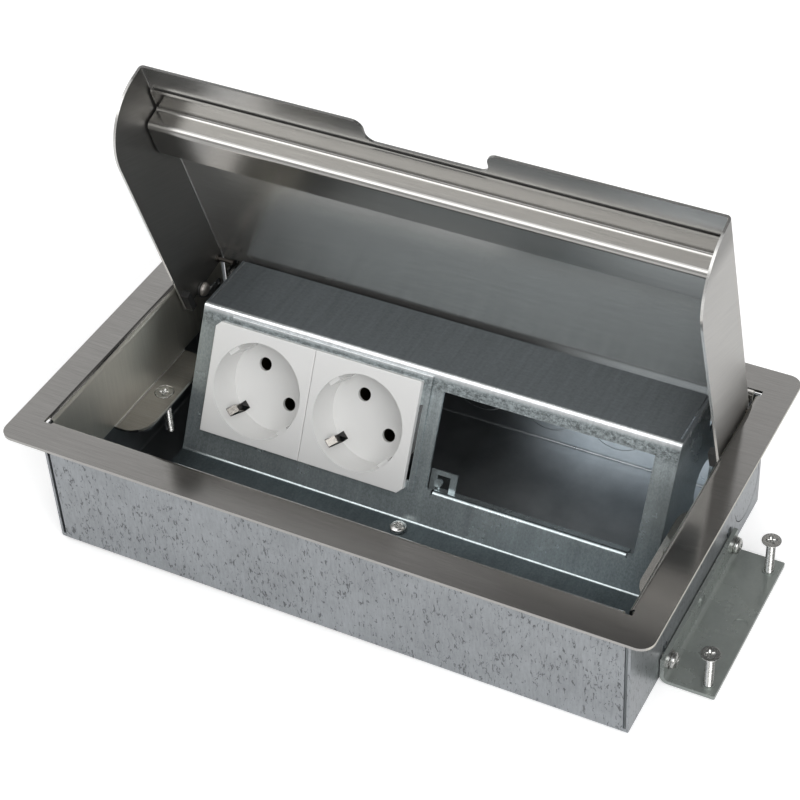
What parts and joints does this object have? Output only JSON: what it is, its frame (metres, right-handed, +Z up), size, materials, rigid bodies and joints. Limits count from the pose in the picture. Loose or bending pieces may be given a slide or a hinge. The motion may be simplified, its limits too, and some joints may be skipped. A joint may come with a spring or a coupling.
{
  "type": "floor socket box",
  "caption": "Floor socket box with a galvanized casing, a stainless frame and hinged lid, sockets on a slanted carrier and height brackets.",
  "frame": {"origin": "centre of the casing's bottom face", "axes": "+Z up, +X to the right along the hinge, -Y to the front"},
  "size_m": [0.283, 0.152, 0.1657],
  "materials": {
    "galvanized": "galvanized, fine flecks",
    "stainless": "brushed along the length",
    "zinc": "bright zinc plated",
    "white_plastic": "gloss",
    "grey_plastic": "matt",
    "black_plastic": "matt",
    "brass": "satin",
    "clip_steel": "satin"
  },
  "bodies": {
    "base": {"casing": "galvanized", "frame": "stainless", "frame_screws": "zinc", "frame_standoffs": "zinc", "carrier": "galvanized", "carrier_screw": "zinc", "socket_left_insert": "white_plastic", "socket_left_terminals": "grey_plastic", "socket_left_sleeves": "brass", "socket_left_earth_clips": "clip_steel", "socket_right_insert": "white_plastic", "socket_right_terminals": "grey_plastic", "socket_right_sleeves": "brass", "socket_right_earth_clips": "clip_steel"},
    "lid": {"lid": "stainless", "lid_brace": "stainless", "hinge_pins": "stainless", "stay_rivets": "stainless", "lid_buffers": "black_plastic"},
    "bracket_right": {"bracket_right": "galvanized", "bracket_right_screws": "zinc", "bracket_right_washers": "zinc", "bracket_right_nuts": "zinc"},
    "levelling_screw_right_front": {"levelling_screw_right_front": "zinc"},
    "levelling_screw_right_rear": {"levelling_screw_right_rear": "zinc"},
    "bracket_left": {"bracket_left": "galvanized", "bracket_left_screws": "zinc", "bracket_left_washers": "zinc", "bracket_left_nuts": "zinc"},
    "levelling_screw_left_front": {"levelling_screw_left_front": "zinc"},
    "levelling_screw_left_rear": {"levelling_screw_left_rear": "zinc"}
  },
  "joints": [
    {"name": "lid_hinge", "type": "hinge", "parent": "base", "child": "lid", "pos_m": [0, 0.0548, 0.0552], "axis": [1, 0, 0], "range_deg": [0, 72.4]},
    {"name": "bracket_right_slide", "type": "slide", "parent": "base", "child": "bracket_right", "axis": [0, 0, 1], "range_m": [-0.0017, 0.0052]},
    {"name": "levelling_screw_right_front_travel", "type": "slide", "parent": "bracket_right", "child": "levelling_screw_right_front", "axis": [0, 0, 1], "range_m": [-0.0134, 0]},
    {"name": "levelling_screw_right_rear_travel", "type": "slide", "parent": "bracket_right", "child": "levelling_screw_right_rear", "axis": [0, 0, 1], "range_m": [-0.0134, 0]},
    {"name": "bracket_left_slide", "type": "slide", "parent": "base", "child": "bracket_left", "axis": [0, 0, 1], "range_m": [-0.0017, 0.0052]},
    {"name": "levelling_screw_left_front_travel", "type": "slide", "parent": "bracket_left", "child": "levelling_screw_left_front", "axis": [0, 0, 1], "range_m": [-0.0134, 0]},
    {"name": "levelling_screw_left_rear_travel", "type": "slide", "parent": "bracket_left", "child": "levelling_screw_left_rear", "axis": [0, 0, 1], "range_m": [-0.0134, 0]}
  ]
}
